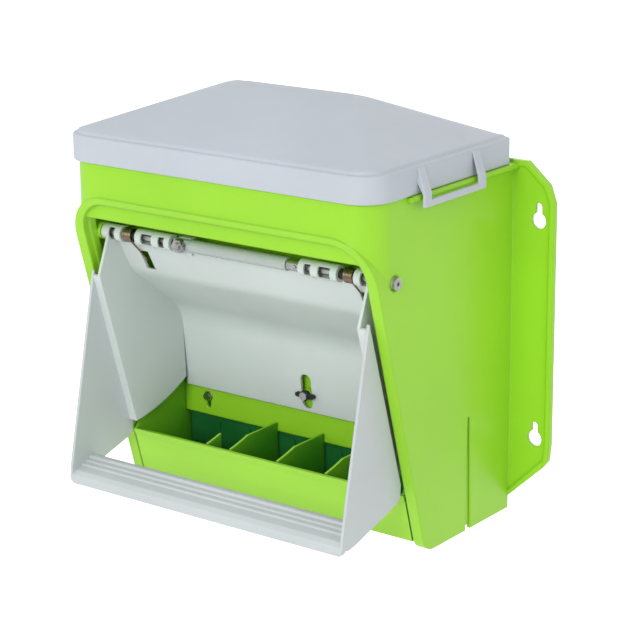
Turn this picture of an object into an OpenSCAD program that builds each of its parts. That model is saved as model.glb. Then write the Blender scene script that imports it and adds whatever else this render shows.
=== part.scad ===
// Wall-hung poultry feeder: a hopper with a hipped lid, a divided feed trough, and a sprung flap
// that the bird opens by standing on its step bar.
// X runs to the right, +Y runs to the wall, Z is up. Millimetres.
// The origin is the centre of the rectangle of four keyholes, on the face that lies on the wall.

/* [Housing] */
// Outside width of the hopper
body_w = 294; // [240:1:360]
// Outside depth of the lid's skirt
lid_d = 186; // [150:1:240]
// Height of the hopper from its bottom edge to the underside of the lid's skirt
body_h = 285.5; // [240:0.5:340]
// Radius of the hopper's two front vertical corners
corner_r = 25; // [10:1:40]
// Thickness of the housing's walls
wall = 3; // [2:0.5:5]
// Angle by which the front opening leans back from vertical
front_lean = 15.6; // [5:0.1:25]
// Width of the flat rim down each side of the front opening
rim_w = 9.5; // [6:0.5:14]

/* [Wall mounting] */
// Distance across between the keyholes
keyhole_across = 341; // [300:1:400]
// Distance up between the keyholes
keyhole_up = 178; // [150:1:220]
// Radius of a keyhole's round opening
keyhole_r = 6.5; // [4:0.5:8]
// Width of a keyhole's slot
keyslot_w = 6; // [4:0.5:8]

/* [Lid] */
// Outside width of the lid's skirt
lid_w = 300; // [250:1:370]
// Height of the lid's skirt
skirt_h = 21; // [14:1:30]
// Height of the roof's ridge above the top of the skirt
roof_h = 36; // [15:1:50]
// Length of the roof's ridge
ridge_len = 124; // [60:1:200]

/* [Flap] */
// Radius of the flap's hinge barrels
barrel_r = 6.5; // [5:0.25:8]
// Radius of the steel hinge rods
rod_r = 3; // [2:0.25:4]
// Reach of the flap panel from the hinge axis to its bottom edge
panel_reach = 175; // [150:1:190]
// Thickness of the flap's sheet
sheet = 2.5; // [1.5:0.1:4]

/* [Trough] */
// Height of the trough's front wall
trough_h = 41; // [30:1:60]
// Distance between neighbouring dividers
divider_pitch = 48; // [30:1:80]
// How far the feed gate can be lowered
gate_travel = 8; // [4:0.5:10]

/* [Hidden] */
$fn = 96;
bend_steps = 5;
eps = 0.01;
gap = 0.3;
run_fit = 0.05;

// The hopper stands between the lid's skirt, above, and the wall, behind.
skirt_z = 133;
bottom_z = skirt_z - body_h;
wall_gap = 10;
lid_front_y = -lid_d - wall_gap;
front_y = lid_front_y + 3;
rear_y = lid_front_y + lid_d - 3;
body_x = body_w / 2;
inside_x = body_x - wall;
body_top_z = skirt_z + 13;
plate_t = 3.5;

// The opening: a plane that leans back from just under the lid.
opening_top_z = skirt_z - 32.5;
opening_x = body_x - rim_w;
opening_r = 27;
rim_top_w = 5.5;
rim_top_z = opening_top_z + rim_top_w;
rim_depth = 7;
rim_step = 1.1;
lean = tan(front_lean);
soffit_z = skirt_z - 46;
soffit_y = front_y + 6;

// Hinge axis.
hinge_y = front_y + 29;
hinge_z = skirt_z - 62;

// Flap, as it stands open.
flap_x = 126;
plate_x = 133.5;
side_reach = 166;
panel_bottom = 30.4;

// Trough.
trough_x = opening_x - rim_step - gap;
lip_z = skirt_z - 237;
floor_z = lip_z - trough_h;
trough_wall = 2.5;
ramp_top_z = floor_z + 62;
trough_back_y = rear_y - wall - gap;
lip_reach = panel_reach + 1.8;

// The wall inside the hopper that the feed gate hangs behind.
inner_wall_y = -71;
inner_wall_z = skirt_z - 238;
gate_t = 2.5;
gate_y = inner_wall_y + wall + gap;
gate_h = 66;
gate_rest_z = floor_z + trough_wall + 10;
gate_screw_x = 109;
gate_screw_z = skirt_z - 221.5;
latch_z = skirt_z - 198;
latch_post_y = inner_wall_y - 6;

// Hinge row, out from the middle.
damper_x = 46;
fork_x = 62;
bolt_x = 53.5;
collar_x = 59;
long_window_x = 87;
short_window_x = 71.5;
inner_barrel_x = 98.5;
spring_x = 108;
outer_barrel_x = 114;
wire = 1.6;
coils = 6;
leg_x = 3.6;
leg_lean = 45;
barrel_hollow_r = 5;

// ---------------------------------------------------------------- helpers

// y of the leaning front plane at height z.
function front_at(z) = front_y + (opening_top_z - z) * lean;

// A point at a distance and angle from the hinge axis; 0 is straight down, positive is to the wall.
function from_hinge(reach, angle) = [hinge_y + reach * sin(angle), hinge_z - reach * cos(angle)];

// A y-z outline drawn out along x, centred on x = 0.
module along_x(length) {
  rotate([90, 0, 90])
    linear_extrude(length, center = true)
      children();
}

// An x-z outline drawn out along y from y0 to y1.
module along_y(y0, y1) {
  translate([0, y1, 0])
    rotate([90, 0, 0])
      linear_extrude(y1 - y0)
        children();
}

// A rod along x between x0 and x1 at the hinge axis.
module hinge_bar(x0, x1, r) {
  translate([x0, hinge_y, hinge_z])
    rotate([0, 90, 0])
      cylinder(r = r, h = x1 - x0);
}

// A rod along y, at x and z, between y0 and y1.
module cross_bar(x, z, y0, y1, r) {
  translate([x, y1, z])
    rotate([90, 0, 0])
      cylinder(r = r, h = y1 - y0);
}

module both_sides() {
  children();
  mirror([1, 0, 0])
    children();
}

// Rectangle from x = -half to half and y0 to y1, round at its front corners and at its rear ones.
module plan(half, y0, y1, front_radius, rear_radius) {
  translate([-half, y0 + front_radius])
    square([2 * half, y1 - rear_radius - y0 - front_radius]);
  translate([-half + front_radius, y0])
    square([2 * (half - front_radius), front_radius + eps]);
  translate([-half + rear_radius, y1 - rear_radius - eps])
    square([2 * (half - rear_radius), rear_radius + eps]);
  for (side = [-1, 1]) {
    translate([side * (half - front_radius), y0 + front_radius])
      circle(front_radius);
    translate([side * (half - rear_radius), y1 - rear_radius])
      circle(rear_radius);
  }
}

// Rectangle with its centre at the origin and round corners.
module round_rect(width, height, radius) {
  square([width - 2 * radius, height], center = true);
  square([width, height - 2 * radius], center = true);
  for (x = [-1, 1], z = [-1, 1])
    translate([x * (width / 2 - radius), z * (height / 2 - radius)])
      circle(radius);
}

// Upright slot between two heights.
module slot(z0, z1, radius) {
  translate([-radius, z0])
    square([2 * radius, z1 - z0]);
  for (z = [z0, z1])
    translate([0, z])
      circle(radius);
}

// Outline of the opening seen from the front, with round upper corners.
module arch(half, top, radius) {
  foot = bottom_z - 20;
  translate([-half, foot])
    square([2 * half, top - radius - foot]);
  translate([-half + radius, top - radius - eps])
    square([2 * (half - radius), radius + eps]);
  for (side = [-1, 1])
    translate([side * (half - radius), top - radius])
      circle(radius);
}

function left_of(step) = [-step[1], step[0]] / norm(step);

// Where the left-hand side of a strip of even thickness lies, opposite its point i.
function across(points, i, thickness) =
  let (
    before = left_of(points[max(i, 1)] - points[max(i, 1) - 1]),
    after = left_of(points[min(i, len(points) - 2) + 1] - points[min(i, len(points) - 2)])
  )
  points[i] + thickness * (before + after) / (1 + before * after);

// Curve that replaces the corner at b, between points that lie a distance along each side of it.
function soft_corner(a, b, c, distance) =
  let (
    start = b + distance * (a - b) / norm(a - b),
    end = b + distance * (c - b) / norm(c - b)
  )
  [for (u = [0 : 1 / bend_steps : 1]) (1 - u) * (1 - u) * start + 2 * u * (1 - u) * b + u * u * end];

// A chain of points with a soft curve in place of each inner corner.
function softened(points, distance) =
  let (last = len(points) - 1)
  concat(
    [points[0]],
    [for (i = [1 : last - 1]) each soft_corner(points[i - 1], points[i], points[i + 1], distance)],
    [points[last]]
  );

// Strip of even thickness on the left of a chain of y-z points.
module strip(points, thickness) {
  last = len(points) - 1;
  polygon(concat(points, [for (i = [last : -1 : 0]) across(points, i, thickness)]));
}

// ---------------------------------------------------------------- housing

module hopper_column(grow, z0, z1) {
  translate([0, 0, z0])
    linear_extrude(z1 - z0)
      plan(body_x + grow, front_y - grow, rear_y + min(grow, 0), corner_r + grow, 5);
}

// Everything in front of the leaning plane.
module in_front() {
  over_z = opening_top_z + 10;
  under_z = bottom_z - 20;
  along_x(2 * lid_w)
    polygon([
      [front_at(over_z), over_z],
      [front_at(under_z), under_z],
      [front_y - 60, under_z],
      [front_y - 60, over_z]
    ]);
}

// Band of the rim that lies between two depths behind the leaning plane.
module rim_band(depth0, depth1, inset) {
  intersection() {
    along_x(2 * lid_w)
      polygon([
        [front_at(bottom_z) + depth0, bottom_z],
        [front_at(rim_top_z) + depth0, rim_top_z],
        [front_at(rim_top_z) + depth1, rim_top_z],
        [front_at(bottom_z) + depth1, bottom_z]
      ]);
    along_y(front_y - 20, rear_y)
      difference() {
        arch(body_x, rim_top_z, opening_r + rim_w);
        arch(opening_x - inset, opening_top_z - inset, opening_r - inset);
      }
  }
}

// Skin that joins the rim's round upper corners to the hopper's round front edges.
module rim_skin() {
  intersection() {
    along_x(2 * lid_w)
      polygon([
        [front_at(rim_top_z), rim_top_z],
        [hinge_y, opening_top_z - (hinge_y - front_y) / lean],
        [hinge_y, rim_top_z]
      ]);
    along_y(front_y - 20, hinge_y)
      difference() {
        arch(body_x, rim_top_z, opening_r + rim_w);
        arch(inside_x, rim_top_z - wall, opening_r + rim_w - wall);
      }
  }
}

// Flat face of the rim, a narrower step behind it, and the skin behind its corners.
module rim() {
  rim_band(0, rim_depth, 0);
  rim_band(rim_depth - eps, 2 * rim_depth, rim_step);
  rim_skin();
}

// Wings behind the hopper, with their cut corners.
module back_outline(inset) {
  right = [
    [160.5 - inset / 2, skirt_z + 2 - inset],
    [180 - inset, skirt_z - 15 - inset / 2],
    [185 - inset, skirt_z - 29],
    [185 - inset, skirt_z - 225],
    [183.5 - inset, skirt_z - 239],
    [178.5 - inset / 2, skirt_z - 245.5 + inset],
    [body_x, skirt_z - 275 + inset]
  ];
  left = [for (i = [len(right) - 1 : -1 : 0]) [-right[i][0], right[i][1]]];
  polygon(concat(right, left));
}

module keyhole() {
  circle(keyhole_r);
  translate([-keyslot_w / 2, 0])
    square([keyslot_w, 11]);
  translate([0, 11])
    circle(d = keyslot_w);
}

module back_plate() {
  bead = 1.5;
  bead_w = 4.5;
  difference() {
    union() {
      along_y(-plate_t, 0)
        back_outline(0);
      along_y(-plate_t - bead, -plate_t)
        difference() {
          back_outline(0);
          back_outline(bead_w);
          square([body_w, 2 * body_h], center = true);
        }
    }
    along_y(-plate_t - 2 * bead, 1)
      for (x = [-1, 1], z = [-1, 1])
        translate([x * keyhole_across / 2, z * keyhole_up / 2])
          keyhole();
  }
}

module side_ledges() {
  ledge_rise = 5.5;
  ledge_h = 4;
  front_end = front_y + 47;
  both_sides() {
    translate([body_x - eps, front_end, skirt_z - ledge_h - gap])
      cube([ledge_rise, -plate_t - front_end, ledge_h]);
    translate([body_x - eps, front_end - 3, skirt_z - ledge_h - 1])
      cube([ledge_rise - 1, 7, ledge_h]);
  }
}

// Slots in the side walls, open at the bottom, that the trough's ribs slide into.
module side_slots(width_growth, top_drop) {
  along_x(2 * body_w)
    polygon([
      [-63 - 1.3 - width_growth, skirt_z - 192 - top_drop],
      [-63 + 1.3 + width_growth, skirt_z - 192 - top_drop],
      [-63 + 3.4 + width_growth, bottom_z - 1],
      [-63 - 3.4 - width_growth, bottom_z - 1]
    ]);
}

// Recessed band and soffit above the hinge.
module header() {
  intersection() {
    hopper_column(-1, soffit_z, rim_top_z);
    union() {
      translate([-body_x, soffit_y, soffit_z])
        cube([body_w, wall, rim_top_z - soffit_z - eps]);
      translate([-body_x, soffit_y, soffit_z])
        cube([body_w, hinge_y + 21 - soffit_y, wall]);
    }
  }
}

module pivot_bosses() {
  both_sides()
    hinge_bar(plate_x + 1, inside_x + 1, 7);
}

// Walls of the hopper, open at the top, at the bottom, behind, and at the front below the rim.
module hopper_shell() {
  difference() {
    hopper_column(0, bottom_z, body_top_z);
    hopper_column(-wall, bottom_z - 1, body_top_z + 1);
    in_front();
    along_y(front_y - 20, hinge_y)
      arch(opening_x, opening_top_z, opening_r);
  }
}

// What is cut off below the round bottom corner, where the leaning front meets the bottom edge.
module below_foot_corner() {
  radius = 14;
  reach = radius / tan((90 + front_lean) / 2);
  corner = [front_at(bottom_z), bottom_z];
  on_front = corner + reach * [-sin(front_lean), cos(front_lean)];
  on_bottom = corner + [reach, 0];
  along_x(2 * lid_w)
    difference() {
      polygon([
        on_front,
        on_front - [3, 0],
        corner - [3, 3],
        on_bottom - [0, 3],
        on_bottom
      ]);
      translate(on_bottom + [0, radius])
        circle(radius);
    }
}

module housing() {
  color("yellowgreen")
    difference() {
      union() {
        hopper_shell();
        rim();
        header();
        pivot_bosses();
        back_plate();
        side_ledges();
        both_sides()
          translate([inside_x, rear_y - 8, bottom_z])
            cube([wall, -plate_t - rear_y + 8 + eps, body_h - gap]);
      }
      side_slots(0, 0);
      below_foot_corner();
      both_sides() {
        hinge_bar(inside_x - 10, body_x + 10, 4.5 + gap);
        hinge_bar(body_x - 1, body_x + 10, 6);
      }
    }
}

// ---------------------------------------------------------------- inside the hopper

// Front face of the wall that holds the feed back, from the soffit down to its bottom edge.
inner_wall_line = softened([
  [hinge_y + 21, soffit_z + wall],
  [hinge_y + 32, hinge_z - 36],
  [inner_wall_y - 7, hinge_z - 76],
  [inner_wall_y, hinge_z - 92],
  [inner_wall_y, inner_wall_z]
], 6);

module gate_slots() {
  for (side = [-1, 1])
    translate([side * gate_screw_x, 0])
      slot(gate_screw_z - gate_travel, gate_screw_z, 2.2);
}

module latch_post(r, y0) {
  cross_bar(0, latch_z, y0, inner_wall_y + 1, r);
}

module hopper_wall() {
  half = inside_x - gap;
  color("limegreen")
    difference() {
      union() {
        along_x(2 * half)
          strip(inner_wall_line, wall);
        latch_post(4.4, latch_post_y);
      }
      along_y(inner_wall_y - 10, inner_wall_y + 10)
        gate_slots();
      latch_post(1.95, inner_wall_y - 10);
    }
}

module trough_profile() {
  front_foot = [front_at(floor_z), floor_z];
  polygon([
    [front_at(lip_z), lip_z],
    [front_at(lip_z) + trough_wall, lip_z],
    [front_foot[0] + trough_wall + 3, floor_z + trough_wall],
    [gate_y + 8, floor_z + trough_wall],
    [trough_back_y, ramp_top_z],
    [trough_back_y, ramp_top_z - 4],
    [gate_y + 9, floor_z],
    front_foot
  ]);
}

// Area of the trough behind its front wall and under the path of the flap's bottom edge.
module under_flap_path(back_y, top_z) {
  difference() {
    polygon([
      [front_at(floor_z) + 1, floor_z + 1],
      [front_at(lip_z) + 1, lip_z + 8],
      [front_at(lip_z) + 1, top_z],
      [back_y, top_z],
      [back_y, floor_z + 1]
    ]);
    translate([hinge_y, hinge_z])
      circle(lip_reach);
  }
}

module trough_end() {
  polygon([
    [front_at(lip_z), lip_z],
    [front_at(lip_z) + 16, lip_z + 18],
    [inner_wall_y - 1, skirt_z - 196],
    [inner_wall_y - 1, floor_z + 1],
    [front_at(floor_z), floor_z]
  ]);
  polygon([
    [inner_wall_y - 2, inner_wall_z - 1],
    [gate_y + gate_t + 1, inner_wall_z - 1],
    [trough_back_y, ramp_top_z],
    [trough_back_y, ramp_top_z - 4],
    [gate_y + 9, floor_z],
    [inner_wall_y - 2, floor_z]
  ]);
}

module trough() {
  lip_bead = 0.8;
  lip_h = 5;
  color("greenyellow") {
    along_x(2 * trough_x)
      trough_profile();
    along_x(2 * trough_x)
      polygon([
        [front_at(lip_z) - lip_bead, lip_z],
        [front_at(lip_z) + trough_wall, lip_z],
        [front_at(lip_z - lip_h) + trough_wall / 2, lip_z - lip_h],
        [front_at(lip_z - lip_h) - lip_bead, lip_z - lip_h]
      ]);
    both_sides() {
      translate([trough_x - trough_wall / 2, 0, 0])
        along_x(trough_wall)
          trough_end();
      intersection() {
        side_slots(-0.4, 3);
        translate([trough_x - 1, -80, floor_z - 4])
          cube([inside_x + 1.6 - trough_x + 1, 40, 100]);
      }
    }
    for (i = [0 : 2])
      translate([divider_pitch * (i - 0.75), 0, 0])
        along_x(2)
          under_flap_path(gate_y - wall - 1, lip_z + 6.5);
    translate([-divider_pitch * 1.25, 0, 0])
      along_x(2)
        under_flap_path(front_at(lip_z) + 20, lip_z + 6.5);
  }
}

module feed_gate() {
  half = trough_x - trough_wall - 2;
  color([0.05, 0.45, 0.25, 0.8])
    difference() {
      union() {
        translate([-half, gate_y, gate_rest_z])
          cube([2 * half, gate_t, gate_h]);
        along_y(gate_y - 1, gate_y + eps)
          for (i = [0 : 4])
            translate([divider_pitch * (i - 1.75), gate_rest_z + 14])
              difference() {
                round_rect(divider_pitch - 14, 20, 4);
                round_rect(divider_pitch - 17, 17, 2.5);
              }
      }
      for (side = [-1, 1])
        cross_bar(side * gate_screw_x, gate_screw_z, gate_y - 5, gate_y + 10, 2.05);
    }
}

module gate_screws() {
  color("silver")
    for (side = [-1, 1]) {
      cross_bar(side * gate_screw_x, gate_screw_z, inner_wall_y - 1, gate_y + 9, 2);
      intersection() {
        translate([side * gate_screw_x, inner_wall_y - 0.9, gate_screw_z])
          sphere(4.1);
        cross_bar(side * gate_screw_x, gate_screw_z, inner_wall_y - 3.4, inner_wall_y - 0.9, 4.1);
      }
    }
}

module gate_washers() {
  color("gainsboro")
    for (side = [-1, 1])
      difference() {
        cross_bar(side * gate_screw_x, gate_screw_z, inner_wall_y - 0.9, inner_wall_y, 4.5);
        cross_bar(side * gate_screw_x, gate_screw_z, inner_wall_y - 2, inner_wall_y + 1, 2.1);
      }
}

module gate_nuts() {
  color("silver")
    for (side = [-1, 1])
      translate([side * gate_screw_x, gate_y + gate_t + 3.2, gate_screw_z])
        rotate([90, 0, 0])
          difference() {
            cylinder(d = 8.1, h = 3.2, $fn = 6);
            translate([0, 0, -1])
              cylinder(r = 2.05, h = 6);
          }
}

// ---------------------------------------------------------------- lid

roof_inset = 4;
lid_top_z = skirt_z + skirt_h;

// Four slopes that meet in a ridge, standing on the top of the skirt; drop lowers the whole roof.
module roof(half, y0, y1, drop) {
  ridge_y = lid_front_y + 110;
  edge = 2;
  peak = lid_top_z + roof_h - drop;
  intersection() {
    translate([0, 0, lid_top_z - 10])
      linear_extrude(roof_h + 20)
        plan(half, y0, y1, corner_r - roof_inset, 8);
    along_x(2 * lid_w)
      polygon([
        [y0, lid_top_z - 10], [y0, lid_top_z + edge - drop], [ridge_y, peak],
        [y1, lid_top_z + edge - drop], [y1, lid_top_z - 10]
      ]);
    along_y(y0 - 10, y1 + 10)
      polygon([
        [-half, lid_top_z - 10], [-half, lid_top_z + edge - drop], [-ridge_len / 2, peak],
        [ridge_len / 2, peak], [half, lid_top_z + edge - drop], [half, lid_top_z - 10]
      ]);
  }
}

// Side view of the loop's plate, which flares out from the top of the skirt and hangs past its edge.
module loop_profile(plate_x0, plate_t, foot_z) {
  polygon([
    [lid_w / 2 - 1, lid_top_z - 1.5],
    [lid_w / 2 + 0.5, lid_top_z - 1.5],
    [plate_x0 + plate_t, skirt_z + 1],
    [plate_x0 + plate_t, foot_z],
    [plate_x0, foot_z],
    [plate_x0, skirt_z + 1],
    [lid_w / 2 - 1, lid_top_z - 4]
  ]);
}

// A loop that reaches down past the ledge on the housing's side: two legs with a web each, and a bar.
module clip_loop() {
  loop_t = 2.5;
  leg_w = 9;
  front_end = lid_front_y + 56;
  rear_end = lid_front_y + 138;
  plate_x0 = lid_w / 2 + 4.5;
  foot_z = skirt_z - 9.5;
  window_h = 60;
  difference() {
    along_y(front_end, rear_end)
      loop_profile(plate_x0, loop_t, foot_z);
    along_x(4 * lid_w)
      translate([(front_end + rear_end) / 2, foot_z + 5 + window_h / 2])
        round_rect(rear_end - front_end - 2 * leg_w, window_h, 3);
  }
  for (y = [front_end, rear_end - loop_t])
    along_y(y, y + loop_t)
      polygon([
        [lid_w / 2 - 1, lid_top_z - 2],
        [plate_x0 + 0.5, skirt_z + 1],
        [plate_x0 + 0.5, skirt_z],
        [lid_w / 2 - 1, skirt_z + 10]
      ]);
}

module lid() {
  color("lightsteelblue") {
    difference() {
      union() {
        translate([0, 0, skirt_z])
          linear_extrude(skirt_h)
            plan(lid_w / 2, lid_front_y, lid_front_y + lid_d, corner_r, 6);
        roof(lid_w / 2 - roof_inset, lid_front_y + 3.3, rear_y, 0);
      }
      translate([0, 0, skirt_z - 1])
        linear_extrude(body_top_z - skirt_z + 1 + 2)
          plan(body_x + 0.5, front_y - 0.5, rear_y + 0.5, corner_r, 5);
      intersection() {
        roof(body_x - 5, front_y + 4, rear_y - 4, sheet);
        translate([0, 0, body_top_z + 1.5])
          linear_extrude(100)
            plan(body_x - 5, front_y + 4, rear_y - 4, corner_r - 5, 5);
      }
    }
    both_sides()
      clip_loop();
  }
}

// ---------------------------------------------------------------- flap

// Front face of the flap's panel, from under the hinge barrels to its bottom edge.
panel_line = softened([
  [hinge_y + 4, hinge_z - 5],
  [hinge_y + 21, hinge_z - 36],
  [hinge_y + 74, hinge_z - 77],
  [hinge_y + 81, hinge_z - 89],
  from_hinge(panel_reach, panel_bottom)
], 6.5);

// Front edge of the flap's side walls.
side_top = [hinge_y - 18, hinge_z - 33];
side_foot = from_hinge(side_reach, 7);

module side_wall_outline() {
  intersection() {
    polygon([
      [hinge_y - 5, hinge_z],
      side_top,
      side_foot,
      [side_foot[0], side_foot[1] - 10],
      [hinge_y + 86, hinge_z - side_reach],
      for (i = [len(panel_line) - 2 : -1 : 0]) panel_line[i],
      [hinge_y + 5, hinge_z]
    ]);
    translate([hinge_y, hinge_z])
      circle(side_reach);
  }
}

module barrel(x0, x1) {
  hinge_bar(x0, x1, barrel_r);
}

module barrel_window(x, width, half_h) {
  translate([x - width / 2, hinge_y - 2 * barrel_r, hinge_z - half_h])
    cube([width, 2 * barrel_r, 2 * half_h]);
}

// Windows in the front of the barrels, and the hollows that they show.
module barrel_windows() {
  both_sides() {
    barrel_window(long_window_x, 11, 4.2);
    barrel_window(short_window_x, 6, 4.2);
    barrel_window(outer_barrel_x + 9, 6, 5);
    hinge_bar(fork_x + 5, inner_barrel_x - 4, barrel_hollow_r);
    hinge_bar(outer_barrel_x + 4, plate_x - 3, barrel_hollow_r);
  }
}

// Openings through the top of the panel for the springs' lower legs.
module leg_windows() {
  for (side = [-1, 1])
    translate([side * spring_x + leg_x - 3, hinge_y + 2, hinge_z - 31])
      cube([9, 30, 17]);
}

module latch_slot() {
  along_y(hinge_y + 60, hinge_y + 110)
    slot(latch_z - 7, latch_z + 12.5, 5.2);
}

module flap() {
  color("gainsboro")
    difference() {
      union() {
        along_x(2 * (flap_x + sheet))
          strip(panel_line, sheet);
        both_sides() {
          translate([flap_x + sheet / 2, 0, 0])
            along_x(sheet)
              side_wall_outline();
          translate([(flap_x + plate_x) / 2, 0, 0])
            along_x(plate_x - flap_x)
              strip([side_top, side_foot], sheet);
          barrel(fork_x + 1, inner_barrel_x);
          barrel(outer_barrel_x, plate_x);
        }
        translate([-bolt_x - 6, hinge_y + 2.7, hinge_z - 9])
          cube([12, 5.8, 14]);
      }
      both_sides() {
        hinge_bar(fork_x, plate_x + 5, rod_r + run_fit);
        hinge_bar(inner_barrel_x, outer_barrel_x, barrel_r + 0.7);
      }
      barrel_windows();
      leg_windows();
      latch_slot();
      cross_bar(-bolt_x, hinge_z, hinge_y - 20, hinge_y + 20, 3.05);
    }
}

// Side plate of the step frame, seen from the side.
module step_plate_outline() {
  front_foot = [front_y - 21, skirt_z - 247];
  polygon([
    side_top + [2, 4],
    front_foot,
    front_foot + [-1, -9],
    front_foot + [8, -12],
    front_foot + [36, -3.5],
    front_foot + [69, 6],
    front_foot + [73.5, 10],
    side_foot + [4, 0]
  ]);
}

module step_bar_outline() {
  front_foot = [front_y - 21, skirt_z - 247];
  polygon([
    front_foot + [26, 3],
    front_foot + [21, 3],
    front_foot + [20, 1],
    front_foot + [16, 0.6],
    front_foot + [15, -0.6],
    front_foot + [11, -1],
    front_foot + [10, -2.4],
    front_foot + [3, -4],
    front_foot + [-0.5, -7],
    front_foot + [-1.5, -11],
    front_foot + [-0.5, -14.5],
    front_foot + [2.5, -16],
    front_foot + [4, -13.5],
    front_foot + [4, -7.5],
    front_foot + [24, 0]
  ]);
}

// What is cut off outside the frame's round lower corners, seen from the front.
module beyond_frame_corners() {
  radius = 8;
  foot_z = skirt_z - 247 - 16;
  both_sides()
    along_y(front_y - 40, rear_y)
      translate([plate_x + sheet - radius, foot_z + radius])
        difference() {
          translate([0, -radius - 1])
            square(radius + 1);
          circle(radius);
        }
}

module step_frame() {
  color("lightgray")
    difference() {
      union() {
        along_x(2 * plate_x + 2 * sheet)
          step_bar_outline();
        both_sides()
          translate([plate_x + sheet / 2, 0, 0])
            along_x(sheet)
              step_plate_outline();
      }
      beyond_frame_corners();
    }
}

// ---------------------------------------------------------------- hinge row

module hinge_rods() {
  color("silver")
    difference() {
      union() {
        hinge_bar(-body_x + 1, -fork_x - 1, rod_r);
        hinge_bar(collar_x - 4, body_x - 1, rod_r);
      }
      both_sides()
        hinge_bar(body_x - 10, body_x, 1.5);
      pin_hole(1.55);
    }
}

module pivot_screws() {
  color("gray")
    both_sides() {
      hinge_bar(body_x - 9, body_x + 0.5, 1.45);
      difference() {
        hinge_bar(body_x + 0.5, body_x + 3, 4.9);
        translate([body_x + 1.5, hinge_y, hinge_z])
          rotate([0, 90, 0])
            cylinder(d = 3.4, h = 5, $fn = 6);
      }
    }
}

module pivot_bushes() {
  color("white")
    both_sides()
      difference() {
        hinge_bar(plate_x + 1, body_x + 0.4, 4.5);
        hinge_bar(plate_x, body_x + 2, rod_r + run_fit);
      }
}

module spring_sleeves() {
  color("black")
    both_sides()
      difference() {
        hinge_bar(inner_barrel_x + 0.4, outer_barrel_x - 0.4, 4);
        hinge_bar(inner_barrel_x, outer_barrel_x, rod_r + run_fit);
      }
}

// Close-wound torsion spring on the hinge axis, with a leg down to the panel and one back to the wall.
module spring() {
  mean_r = 5.1;
  color("peru") {
    for (i = [0 : coils - 1])
      translate([(i - (coils - 1) / 2) * wire * 0.95, hinge_y, hinge_z])
        rotate([0, 90, 0])
          rotate_extrude()
            translate([mean_r, 0])
              circle(d = wire);
    translate([leg_x, hinge_y - mean_r * cos(leg_lean), hinge_z - mean_r * sin(leg_lean)])
      rotate([180 + leg_lean, 0, 0])
        cylinder(d = wire, h = 27);
    translate([-leg_x, hinge_y, hinge_z + mean_r])
      rotate([-90, 0, 0])
        cylinder(d = wire, h = 16);
  }
}

module spring_right() {
  translate([spring_x, 0, 0])
    spring();
}

module spring_left() {
  translate([-spring_x, 0, 0])
    spring();
}

module damper_body() {
  color("whitesmoke")
    difference() {
      union() {
        hinge_bar(-damper_x + 2, damper_x + 4, 5.2);
        hinge_bar(-damper_x - 1, -damper_x + 3, 4.6);
        translate([-fork_x + 1, hinge_y - 2.6, hinge_z - 4.4])
          cube([fork_x - damper_x + 1, 5.2, 8.8]);
      }
      hinge_bar(damper_x - 12, damper_x + 10, 2.05);
      cross_bar(-bolt_x, hinge_z, hinge_y - 20, hinge_y + 20, 3.05);
    }
}

module pin_hole(r) {
  cross_bar(collar_x, hinge_z, hinge_y - 2 * barrel_r, hinge_y + 2 * barrel_r, r);
}

// Shaft that enters the damper, with a collar that is pinned to the end of the right-hand rod.
module damper_shaft() {
  color("silver")
    difference() {
      union() {
        hinge_bar(damper_x - 10, damper_x + 6, 2);
        hinge_bar(damper_x + 5, collar_x + 3.7, 4.4);
      }
      hinge_bar(collar_x - 4.2, collar_x + 5, rod_r + run_fit);
      pin_hole(1.55);
    }
}

module damper_bolt() {
  color("gray")
    cross_bar(-bolt_x, hinge_z, hinge_y - 9.5, hinge_y + 8.5, 3);
  color("gray")
    translate([-bolt_x, hinge_y + 12, hinge_z])
      rotate([90, 0, 0])
        cylinder(d = 11.4, h = 3.5, $fn = 6);
}

module damper_nut() {
  color("silver")
    translate([-bolt_x, hinge_y - 2.6, hinge_z])
      rotate([90, 0, 0])
        difference() {
          cylinder(d = 11.5, h = 5, $fn = 6);
          translate([0, 0, -1])
            cylinder(r = 3.05, h = 8);
        }
}

module shaft_pin() {
  color("silver")
    cross_bar(collar_x, hinge_z, hinge_y - 5.4, hinge_y + 5, 1.5);
}

// ---------------------------------------------------------------- latch

wing_y = latch_post_y - 1.2;

module latch_wing() {
  wing_t = 2.6;
  color("#202428")
    difference() {
      along_y(wing_y - wing_t, wing_y)
        translate([0, latch_z]) {
          circle(4.4);
          round_rect(19, 3.8, 1.8);
        }
      cross_bar(0, latch_z, wing_y - 10, wing_y + 5, 2.05);
    }
}

module latch_screw() {
  color("silver") {
    cross_bar(0, latch_z, wing_y - 3, inner_wall_y - 0.5, 1.9);
    cross_bar(0, latch_z, wing_y - 5, wing_y - 2.7, 3.4);
  }
}

module latch_washer() {
  color("gainsboro")
    difference() {
      cross_bar(0, latch_z, wing_y + 0.05, latch_post_y - 0.05, 4);
      cross_bar(0, latch_z, wing_y - 2, inner_wall_y, 2);
    }
}

housing();
hopper_wall();
trough();
feed_gate();
gate_screws();
gate_washers();
gate_nuts();
lid();
flap();
step_frame();
hinge_rods();
pivot_screws();
pivot_bushes();
spring_sleeves();
spring_left();
spring_right();
damper_body();
damper_shaft();
damper_bolt();
damper_nut();
shaft_pin();
latch_wing();
latch_screw();
latch_washer();
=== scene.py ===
"""Looks of a wall-hung poultry feeder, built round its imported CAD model. Metres unless a name says mm."""

import math

import bmesh
import bpy
from mathutils import Matrix, Vector


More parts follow.
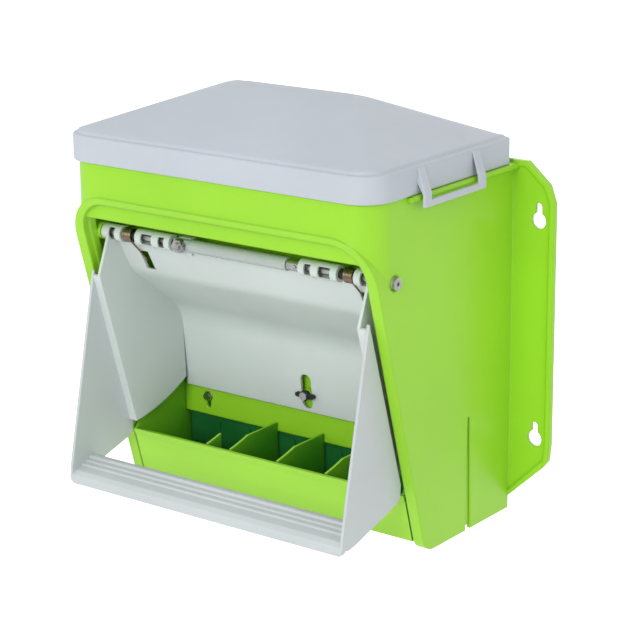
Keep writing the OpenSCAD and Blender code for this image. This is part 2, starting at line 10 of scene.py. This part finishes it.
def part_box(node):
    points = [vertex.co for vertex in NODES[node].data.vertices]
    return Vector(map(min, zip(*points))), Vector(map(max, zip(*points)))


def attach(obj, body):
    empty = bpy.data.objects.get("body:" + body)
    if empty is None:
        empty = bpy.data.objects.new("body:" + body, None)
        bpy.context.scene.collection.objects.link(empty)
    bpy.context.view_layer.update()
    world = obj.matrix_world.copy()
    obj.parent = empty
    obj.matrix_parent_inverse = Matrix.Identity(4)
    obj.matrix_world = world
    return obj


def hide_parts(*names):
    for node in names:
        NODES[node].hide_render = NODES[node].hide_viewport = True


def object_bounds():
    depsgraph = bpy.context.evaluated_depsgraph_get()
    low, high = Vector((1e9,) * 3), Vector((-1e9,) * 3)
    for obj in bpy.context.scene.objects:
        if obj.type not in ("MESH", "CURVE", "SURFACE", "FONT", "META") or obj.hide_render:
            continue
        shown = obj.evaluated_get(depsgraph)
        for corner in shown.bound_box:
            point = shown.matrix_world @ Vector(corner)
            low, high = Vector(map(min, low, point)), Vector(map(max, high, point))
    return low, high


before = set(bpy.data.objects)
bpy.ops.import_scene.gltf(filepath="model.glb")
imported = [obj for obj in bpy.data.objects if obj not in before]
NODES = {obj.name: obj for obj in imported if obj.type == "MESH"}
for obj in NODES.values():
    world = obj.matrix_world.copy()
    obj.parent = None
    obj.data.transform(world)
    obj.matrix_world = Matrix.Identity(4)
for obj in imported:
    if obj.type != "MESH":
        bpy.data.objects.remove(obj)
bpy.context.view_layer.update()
MM = 0.001

# ------------------------------------------------------------------ materials


HOLLOW_REACH = 0.07
EDGE_SAMPLES = 6


class Shader:
    """A material being built: adds nodes and links them by socket name."""

    def __init__(self, name):
        self.material = bpy.data.materials.new(name)
        self.material.use_nodes = True
        self.tree = self.material.node_tree
        self.bsdf = self.tree.nodes["Principled BSDF"]
        self.coords = self.add("ShaderNodeTexCoord").outputs["Object"]

    def add(self, kind, **settings):
        node = self.tree.nodes.new(kind)
        for key, value in settings.items():
            setattr(node, key, value)
        return node

    def link(self, source, target):
        self.tree.links.new(source, target)

    def noise(self, scale, detail=4.0, stretch=(1, 1, 1)):
        """Noise over the object; scale is in features per metre."""
        mapping = self.add("ShaderNodeMapping")
        mapping.inputs["Scale"].default_value = stretch
        self.link(self.coords, mapping.inputs["Vector"])
        noise = self.add("ShaderNodeTexNoise")
        noise.inputs["Scale"].default_value = scale
        noise.inputs["Detail"].default_value = detail
        self.link(mapping.outputs["Vector"], noise.inputs["Vector"])
        return noise.outputs["Fac"]

    def span(self, value, low, high, start=0.3, end=0.7):
        """Maps a value that runs from start to end onto low to high."""
        node = self.add("ShaderNodeMapRange")
        node.inputs["From Min"].default_value = start
        node.inputs["From Max"].default_value = end
        node.inputs["To Min"].default_value = low
        node.inputs["To Max"].default_value = high
        self.link(value, node.inputs["Value"])
        return node.outputs["Result"]

    def blend(self, factor, first, second):
        """Mixes two colours by a factor; each may be a colour or a socket."""
        mix = self.add("ShaderNodeMix", data_type="RGBA")
        self.link(factor, mix.inputs["Factor"])
        for socket, colour in ((mix.inputs[6], first), (mix.inputs[7], second)):
            if isinstance(colour, tuple):
                socket.default_value = (*colour, 1)
            else:
                self.link(colour, socket)
        return mix.outputs[2]

    def rounded_normal(self, edge_mm):
        """Normal of the surface with its edges rounded to a radius."""
        rounding = self.add("ShaderNodeBevel", samples=EDGE_SAMPLES)
        rounding.inputs["Radius"].default_value = edge_mm * MM
        return rounding.outputs["Normal"]

    def painted_edge_highlight(self, colour, highlight_colour, edge_mm):
        """Paints a highlight into the colour close to the surface's edges."""
        geometry = self.add("ShaderNodeNewGeometry")
        turn = self.add("ShaderNodeVectorMath", operation="DOT_PRODUCT")
        self.link(self.rounded_normal(edge_mm), turn.inputs[0])
        self.link(geometry.outputs["Normal"], turn.inputs[1])
        edge_highlight = self.span(turn.outputs["Value"], 0.4, 0.0, 0.75, 0.97)
        return self.blend(edge_highlight, colour, highlight_colour)

    def hollow_shade(self, colour, painted_shade_colour, distance):
        """Paints shade into a colour inside hollows, where coloured light bounces about."""
        open_sky = self.add("ShaderNodeAmbientOcclusion")
        open_sky.inputs["Distance"].default_value = distance
        shade = self.span(open_sky.outputs["AO"], 0.0, 1.0, 0.25, 0.8)
        return self.blend(shade, painted_shade_colour, colour)

    def bump(self, layers, distance, edge_mm=0.0):
        """Stacks (height socket, strength) layers of bump over softly rounded edges."""
        previous = self.rounded_normal(edge_mm) if edge_mm else None
        for height, strength in layers:
            node = self.add("ShaderNodeBump")
            node.inputs["Strength"].default_value = strength
            node.inputs["Distance"].default_value = distance
            self.link(height, node.inputs["Height"])
            if previous:
                self.link(previous, node.inputs["Normal"])
            previous = node.outputs["Normal"]
        self.link(previous, self.bsdf.inputs["Normal"])

    def constant(self, **values):
        """Sets the shader's own sockets; an underscore in a name stands for a space."""
        for key, value in values.items():
            self.bsdf.inputs[key.replace("_", " ")].default_value = value


def scaled(colour, factor):
    return tuple(channel * factor for channel in colour)


def moulded_plastic(name, colour, roughness=0.42, grain=0.10, soft_light=0.06, edge_mm=1.0,
                    hollow_shade_colour=None):
    """Injection-moulded plastic: cloudy colour, fine grain, slow ripple of the mould."""
    shader = Shader(name)
    cloud = shader.noise(9, detail=3)
    fine = shader.noise(2600, detail=2)
    ripple = shader.noise(16, detail=1)
    smear = shader.noise(60, detail=3, stretch=(1, 1, 0.35))
    base = shader.blend(shader.span(cloud, 0, 1), scaled(colour, 0.94), scaled(colour, 1.02))
    # painted highlight: the colour is lightened close to every edge
    base = shader.painted_edge_highlight(base, scaled(colour, 1.15), edge_mm)
    # painted shade: darker colour inside hollows, for looks given a shade colour
    if hollow_shade_colour:
        base = shader.hollow_shade(base, hollow_shade_colour, HOLLOW_REACH)
    shader.link(base, shader.bsdf.inputs["Base Color"])
    rough = shader.span(smear, roughness - 0.02, roughness + 0.04)
    shader.link(rough, shader.bsdf.inputs["Roughness"])
    shader.bump([(ripple, 0.05), (fine, grain)], 0.0004, edge_mm)
    shader.constant(IOR=1.49, Subsurface_Weight=soft_light, Subsurface_Scale=0.004)
    return shader.material


def clear_green_plastic(name):
    """Dark green plastic that light enters a little."""
    shader = Shader(name)
    cloud = shader.noise(14, detail=3)
    base = shader.blend(shader.span(cloud, 0, 1), (0.012, 0.13, 0.03), (0.02, 0.20, 0.045))
    shader.link(base, shader.bsdf.inputs["Base Color"])
    smear = shader.noise(70, detail=5)
    shader.link(shader.span(smear, 0.16, 0.26), shader.bsdf.inputs["Roughness"])
    shader.bump([(shader.noise(40, detail=2), 0.12)], 0.0004)
    shader.constant(IOR=1.5, Transmission_Weight=0.2)
    return shader.material


def brushed_metal(name, colour, roughness, stretch):
    """Steel with fine drawn or turned lines and dull patches."""
    shader = Shader(name)
    lines = shader.noise(900, detail=3, stretch=stretch)
    patches = shader.noise(150, detail=4)
    base = shader.blend(shader.span(patches, 0, 1), scaled(colour, 0.72), colour)
    shader.link(base, shader.bsdf.inputs["Base Color"])
    rough = shader.span(lines, roughness - 0.07, roughness + 0.10)
    shader.link(rough, shader.bsdf.inputs["Roughness"])
    shader.bump([(lines, 0.15)], 0.0002)
    shader.constant(Metallic=1.0)
    return shader.material


GREEN = (0.31, 0.66, 0.024)

LOOKS = {
    "green": moulded_plastic("green_plastic_look", GREEN, 0.33, 0.02, edge_mm=2.2),
    # the trough's look paints shade into its hollows
    "trough": moulded_plastic("trough_plastic_look", GREEN, 0.34, 0.03, hollow_shade_colour=(0.06, 0.30, 0.012)),
    "gate": clear_green_plastic("gate_plastic_look"),
    "lid": moulded_plastic("lid_plastic_look", (0.49, 0.53, 0.58), 0.50, 0.16),
    # flap and step frame are one grey plastic: the flap's copy is painted lighter and a little greener, the
    # step's darker, for the light on each
    "flap": moulded_plastic("flap_grey_painted_lighter_look", (0.60, 0.66, 0.64), 0.42),
    "step": moulded_plastic("step_grey_painted_darker_look", (0.54, 0.58, 0.59), 0.42),
    "damper": moulded_plastic("damper_plastic_look", (0.42, 0.47, 0.46), 0.26, 0.04),
    "black": moulded_plastic("black_plastic_look", (0.008, 0.009, 0.011), 0.50, soft_light=0.0,
                             edge_mm=0.3),
    "white": moulded_plastic("white_plastic_look", (0.68, 0.69, 0.70), 0.40),
    "steel": brushed_metal("stainless_look", (0.55, 0.55, 0.55), 0.30, (0.05, 1, 1)),
    "bright": brushed_metal("bright_steel_look", (0.50, 0.50, 0.49), 0.20, (1, 0.2, 1)),
    "bronze": brushed_metal("spring_wire_look", (0.30, 0.22, 0.15), 0.30, (1, 1, 1)),
}

LOOK_OF_NODE = {
    "housing": "green", "hopper_wall": "green", "trough": "trough", "feed_gate": "gate",
    "gate_screws": "bright", "gate_washers": "steel", "gate_nuts": "steel", "lid": "lid",
    "flap": "flap", "step_frame": "step", "hinge_rods": "steel", "pivot_screws": "steel",
    "pivot_bushes": "white", "spring_sleeves": "black", "spring_left": "bronze",
    "spring_right": "bronze", "damper_body": "damper", "damper_shaft": "steel",
    "damper_bolt": "steel", "damper_nut": "steel", "shaft_pin": "steel",
    "latch_wing": "black", "latch_screw": "steel", "latch_washer": "steel",
}

# ------------------------------------------------------------------ CAD nodes


def dress(node, look):
    """Gives a CAD node its material in place of the plain one."""
    materials = NODES[node].data.materials
    materials.clear()
    materials.append(LOOKS[look])


for node_name, look_name in LOOK_OF_NODE.items():
    dress(node_name, look_name)

# ------------------------------------------------------------------ pieces


def add_piece(name, data, look, body, *stands_for):
    """Places a mesh or curve that rides on a body and replaces CAD nodes."""
    piece = bpy.data.objects.new(name, data)
    bpy.context.collection.objects.link(piece)
    data.materials.append(LOOKS[look])
    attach(piece, body)
    if stands_for:
        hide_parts(*stands_for)
    return piece


def box_mm(node):
    low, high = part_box(node)
    return [v / MM for v in low], [v / MM for v in high]


def keep_flats_flat(piece, weight=50):
    """Smooths a piece, with its larger faces leading the normals."""
    for polygon in piece.data.polygons:
        polygon.use_smooth = True
    weighted = piece.modifiers.new("weighted", "WEIGHTED_NORMAL")
    weighted.weight = weight


def round_edges(piece, width_mm):
    """Rounds a flat-sided piece's edges, and keeps its flat faces flat in the light."""
    bevel = piece.modifiers.new("bevel", "BEVEL")
    bevel.width = width_mm * MM
    bevel.segments = 3
    keep_flats_flat(piece, 100)


def mesh_from_mm(name, points, faces):
    mesh = bpy.data.meshes.new(name)
    mesh.from_pydata([Vector(p) * MM for p in points], [], faces)
    merged = bmesh.new()
    merged.from_mesh(mesh)
    bmesh.ops.remove_doubles(merged, verts=merged.verts, dist=0.00001)
    bmesh.ops.recalc_face_normals(merged, faces=merged.faces)
    merged.to_mesh(mesh)
    merged.free()
    return mesh


# ------------------------------------------------------------------ lid


LID_LOW, LID_HIGH = box_mm("lid")
SKIRT_H = 21
LOOP_DROP = 9.5
LOOP_STANDOFF = 4.5
LOOP_T = 2.5
LOOP_FRONT = 56
LOOP_REAR = 138
LOOP_LEG = 9
LOOP_BAR = 5
SKIRT_HALF = LID_HIGH[0] - LOOP_STANDOFF - LOOP_T
SKIRT_Z = LID_LOW[2] + LOOP_DROP
SKIRT_TOP_Z = SKIRT_Z + SKIRT_H
FRONT_Y, REAR_Y = LID_LOW[1], LID_HIGH[1]
RIDGE_BEHIND_FRONT = 110
RIDGE_Y = FRONT_Y + RIDGE_BEHIND_FRONT
RIDGE_HALF = 62
ROOF_INSET = 4
ROOF_EDGE_H = 2
ROOF_RISE = LID_HIGH[2] - SKIRT_TOP_Z - ROOF_EDGE_H
ROOF_SHARES = [0.02, 0.05, 0.1, 0.16, 0.23, 0.31, 0.4, 0.5, 0.6, 0.7, 0.8, 0.88, 0.94, 0.985]
HIP_SOFTNESS = 1.8
LID_T = 2.5
SKIRT_INSIDE_H = 15
UNDER_ROOF_INSET = 8
FRONT_CORNER_R = 25
REAR_CORNER_R = 6
CORNER_STEPS = 10
SIDE_STEPS = 24


def lid_outline(inset):
    """Points round the lid's plan, drawn in from the skirt's outside by an inset."""
    half = SKIRT_HALF - inset
    corners = (
        (half, REAR_Y - inset, REAR_CORNER_R, 0),
        (-half, REAR_Y - inset, REAR_CORNER_R, 90),
        (-half, FRONT_Y + inset, FRONT_CORNER_R, 180),
        (half, FRONT_Y + inset, FRONT_CORNER_R, 270),
    )
    arcs = []
    for x, y, full_radius, start in corners:
        radius = max(full_radius - inset, 1)
        cx = x - math.copysign(radius, x)
        cy = y - radius if start < 180 else y + radius
        arcs.append([
            (cx + radius * math.cos(math.radians(start + 90 * i / CORNER_STEPS)),
             cy + radius * math.sin(math.radians(start + 90 * i / CORNER_STEPS)))
            for i in range(CORNER_STEPS + 1)
        ])
    points = []
    for i, arc in enumerate(arcs):
        points += arc
        (x0, y0), (x1, y1) = arc[-1], arcs[(i + 1) % len(arcs)][0]
        points += [(x0 + (x1 - x0) * k / SIDE_STEPS, y0 + (y1 - y0) * k / SIDE_STEPS)
                   for k in range(1, SIDE_STEPS)]
    return points


def roof_z(x, y):
    """Height of the roof: four slopes that run softly into each other."""
    front = (y - FRONT_Y - ROOF_INSET) / (RIDGE_Y - FRONT_Y - ROOF_INSET)
    rear = (REAR_Y - ROOF_INSET - y) / (REAR_Y - ROOF_INSET - RIDGE_Y)
    side = (SKIRT_HALF - ROOF_INSET - abs(x)) / (SKIRT_HALF - ROOF_INSET - RIDGE_HALF)
    total = sum(math.exp(-ROOF_RISE * slope / HIP_SOFTNESS) for slope in (front, rear, side))
    lowest = -HIP_SOFTNESS * math.log(total)
    return SKIRT_TOP_Z + ROOF_EDGE_H + max(lowest, 0)


def skirt_ring(inset, z):
    return [(x, y, z) for x, y in lid_outline(inset)]


def roof_ring(inset, share, drop):
    """Ring a share of the way from the roof's edge to its ridge, and a drop below its surface."""
    ring = []
    for x, y in lid_outline(inset):
        ridge_x = max(-RIDGE_HALF, min(RIDGE_HALF, x))
        px = x + (ridge_x - x) * share
        py = y + (RIDGE_Y - y) * share
        ring.append((px, py, roof_z(px, py) - drop))
    return ring


def lid_rings():
    """Rings from the ridge out over the roof, down the skirt, and back up the inside to the ridge."""
    edge_inset = ROOF_INSET + 1.4
    rings = [roof_ring(edge_inset, share, 0) for share in reversed(ROOF_SHARES)]
    rings += [roof_ring(inset, 0, drop) for inset, drop in (
        (edge_inset, 0), (ROOF_INSET + 0.4, 0.4), (ROOF_INSET, 1.4))]
    rings += [skirt_ring(inset, SKIRT_Z + height) for inset, height in (
        (3.8, SKIRT_H + 0.3), (3.1, SKIRT_H), (1.4, SKIRT_H), (0.4, SKIRT_H - 0.4),
        (0, SKIRT_H - 1.4), (0, 0.9), (0.25, 0.25), (0.9, 0), (2.1, 0), (2.5, 0.4),
        (2.5, SKIRT_INSIDE_H), (UNDER_ROOF_INSET, SKIRT_INSIDE_H))]
    rings += [roof_ring(UNDER_ROOF_INSET, share, LID_T) for share in [0] + ROOF_SHARES]
    return rings


def loft_faces(ring_count, points_in_ring):
    """Faces between neighbouring rings, with one more over the first ring and over the last."""
    faces = []
    for ring in range(ring_count - 1):
        here, there = ring * points_in_ring, (ring + 1) * points_in_ring
        for i in range(points_in_ring):
            j = (i + 1) % points_in_ring
            faces.append((here + i, here + j, there + j, there + i))
    last = (ring_count - 1) * points_in_ring
    faces.append(tuple(range(points_in_ring)))
    faces.append(tuple(range(last, last + points_in_ring)))
    return faces


def add_lid_shell():
    rings = lid_rings()
    points = [point for ring in rings for point in ring]
    faces = loft_faces(len(rings), len(rings[0]))
    shell = add_piece("lid_shell", mesh_from_mm("lid_shell", points, faces), "lid", "lid", "lid")
    keep_flats_flat(shell)


def add_clip_loop(name, side):
    """Loop on the skirt: two flared legs joined by a bar below, with a web behind each leg."""
    top, knee, foot = SKIRT_TOP_Z - 1.5, SKIRT_Z + 1, SKIRT_Z - LOOP_DROP
    y0, y1, leg = FRONT_Y + LOOP_FRONT, FRONT_Y + LOOP_REAR, LOOP_LEG
    x_in = SKIRT_HALF + LOOP_STANDOFF
    rows = [(top, SKIRT_HALF - 1, SKIRT_HALF + 0.5), (knee, x_in, x_in + LOOP_T),
            (foot + LOOP_BAR, x_in, x_in + LOOP_T), (foot, x_in, x_in + LOOP_T)]
    columns = [y0, y0 + leg, y1 - leg, y1]
    points = [(side * x, y, z) for z, *xs in rows for y in columns for x in xs]
    solid = [(0, 0), (0, 2), (1, 0), (1, 2), (2, 0), (2, 1), (2, 2)]

    def at(row, column, outer):
        return (row * len(columns) + column) * 2 + outer

    faces = []
    for row, column in solid:
        for outer in (0, 1):
            faces.append((at(row, column, outer), at(row, column + 1, outer),
                          at(row + 1, column + 1, outer), at(row + 1, column, outer)))
        borders = (((row, column), (row, column + 1), (row - 1, column)),
                   ((row + 1, column), (row + 1, column + 1), (row + 1, column)),
                   ((row, column), (row + 1, column), (row, column - 1)),
                   ((row, column + 1), (row + 1, column + 1), (row, column + 1)))
        for start, end, beyond in borders:
            if beyond not in solid:
                faces.append((at(*start, 0), at(*start, 1), at(*end, 1), at(*end, 0)))
    loop = add_piece(name, mesh_from_mm(name, points, faces), "lid", "lid", "lid")
    round_edges(loop, 0.6)
    web = [(SKIRT_HALF - 1, top - 0.5), (x_in + 0.5, knee), (x_in + 0.5, knee - 1),
           (SKIRT_HALF - 1, SKIRT_Z + 10)]
    for end_name, y in (("front", y0), ("rear", y1 - LOOP_T)):
        web_points = [(side * x, end_y, z) for end_y in (y, y + LOOP_T) for x, z in web]
        web_faces = [(0, 1, 2, 3), (4, 5, 6, 7)]
        web_faces += [(i, (i + 1) % 4, (i + 1) % 4 + 4, i + 4) for i in range(4)]
        web_name = f"{name}_{end_name}_web"
        add_piece(web_name, mesh_from_mm(web_name, web_points, web_faces), "lid", "lid", "lid")


add_lid_shell()
add_clip_loop("clip_loop_right", 1)
add_clip_loop("clip_loop_left", -1)

# ------------------------------------------------------------------ springs

WIRE_R = 0.8
COIL_R = 5.1
TURNS = 5.375
LEG_X = 3.6
LEG_LEAN = math.radians(45)
LEG_LENGTH = 27
REAR_LEG = 16
POINTS_A_TURN = 28


def hinge_axis_mm():
    """Y and Z of the hinge axis, from the rods that lie on it."""
    low, high = box_mm("hinge_rods")
    return (low[1] + high[1]) / 2, (low[2] + high[2]) / 2


def spring_path(middle_x):
    """Wire from the rear leg, over the top and forward round the coil, to the leg on the panel."""
    y, z = hinge_axis_mm()
    path = [(middle_x - LEG_X, y + REAR_LEG, z + COIL_R)]
    count = round(TURNS * POINTS_A_TURN)
    for i in range(count + 1):
        turn = math.radians(90) + 2 * math.pi * TURNS * i / count
        x = middle_x - LEG_X + 2 * LEG_X * i / count
        path.append((x, y + COIL_R * math.cos(turn), z + COIL_R * math.sin(turn)))
    last = path[-1]
    path.append((last[0], last[1] + LEG_LENGTH * math.sin(LEG_LEAN),
                 last[2] - LEG_LENGTH * math.cos(LEG_LEAN)))
    return path


def add_spring(name, middle_x):
    path = spring_path(middle_x)
    curve = bpy.data.curves.new(name, "CURVE")
    curve.dimensions = "3D"
    curve.bevel_depth = WIRE_R * MM
    curve.bevel_resolution = 3
    curve.use_fill_caps = True
    spline = curve.splines.new("POLY")
    spline.points.add(len(path) - 1)
    for point, place in zip(spline.points, path):
        point.co = (*(Vector(place) * MM), 1)
    add_piece(f"{name}_wire", curve, "bronze", "flap", name)


for spring_name in ("spring_left", "spring_right"):
    spring_low, spring_high = box_mm(spring_name)
    add_spring(spring_name, (spring_low[0] + spring_high[0]) / 2)

# ------------------------------------------------------------------ stage


def add_floor():
    """Plain pale floor, far below because the object hangs, that curves up into a backdrop."""
    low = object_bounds()[0][2] - 0.9
    depth, height, radius, half = 4.0, 5.0, 1.2, 9.0
    profile = [(-6.0, low), (depth - radius, low)]
    for i in range(1, 13):
        turn = math.radians(90 * i / 12)
        profile.append((depth - radius + radius * math.sin(turn),
                        low + radius * (1 - math.cos(turn))))
    profile.append((depth, low + height))
    verts = [(x, y, z) for y, z in profile for x in (-half, half)]
    faces = [(2 * i, 2 * i + 1, 2 * i + 3, 2 * i + 2) for i in range(len(profile) - 1)]
    mesh = bpy.data.meshes.new("floor")
    mesh.from_pydata(verts, [], faces)
    floor = bpy.data.objects.new("floor", mesh)
    bpy.context.collection.objects.link(floor)
    for polygon in mesh.polygons:
        polygon.use_smooth = True
    shader = Shader("paper")
    shade = shader.blend(shader.span(shader.noise(3), 0, 1), (0.95, 0.95, 0.95), (0.97, 0.97, 0.97))
    shader.link(shade, shader.bsdf.inputs["Base Color"])
    shader.constant(Roughness=0.9)
    mesh.materials.append(shader.material)


def add_light(name, position, target, size, power):
    data = bpy.data.lights.new(name, "AREA")
    data.shape = "SQUARE"
    data.size = size
    data.energy = power
    light = bpy.data.objects.new(name, data)
    light.location = position
    direction = Vector(target) - Vector(position)
    light.rotation_euler = direction.to_track_quat("-Z", "Y").to_euler()
    bpy.context.collection.objects.link(light)


def add_lights():
    centre = (0, -0.1, 0.0)
    add_light("key", (0.35, -2.1, 0.8), centre, 0.9, 19)
    add_light("side", (2.1, -0.6, 0.7), centre, 1.2, 5)
    add_light("fill", (-1.9, -1.2, 0.9), centre, 1.5, 4)
    add_light("backdrop", (-1.5, 1.2, 1.8), (-2.6, 4.0, -0.6), 2.0, 110)
    world = bpy.data.worlds.new("studio")
    world.use_nodes = True
    world.node_tree.nodes["Background"].inputs["Color"].default_value = (1, 1, 1, 1)
    world.node_tree.nodes["Background"].inputs["Strength"].default_value = 0.76
    bpy.context.scene.world = world
    bpy.context.scene.view_settings.view_transform = "Standard"


def add_camera():
    """Camera at the front right, a little above, with a long lens."""
    data = bpy.data.cameras.new("camera")
    data.sensor_width = 36
    data.lens = 122.9
    data.clip_end = 30
    camera = bpy.data.objects.new("camera", data)
    azimuth, elevation, roll = (math.radians(a) for a in (37.02, 16.13, -0.53))
    turn = Matrix.Rotation(azimuth, 4, "Z")
    tilt = Matrix.Rotation(math.radians(90) - elevation, 4, "X")
    level = Matrix.Rotation(roll, 4, "Z")
    camera.matrix_world = Matrix.Translation((1.001, -1.394, 0.4815)) @ turn @ tilt @ level
    bpy.context.collection.objects.link(camera)
    bpy.context.scene.camera = camera


add_floor()
add_lights()
add_camera()
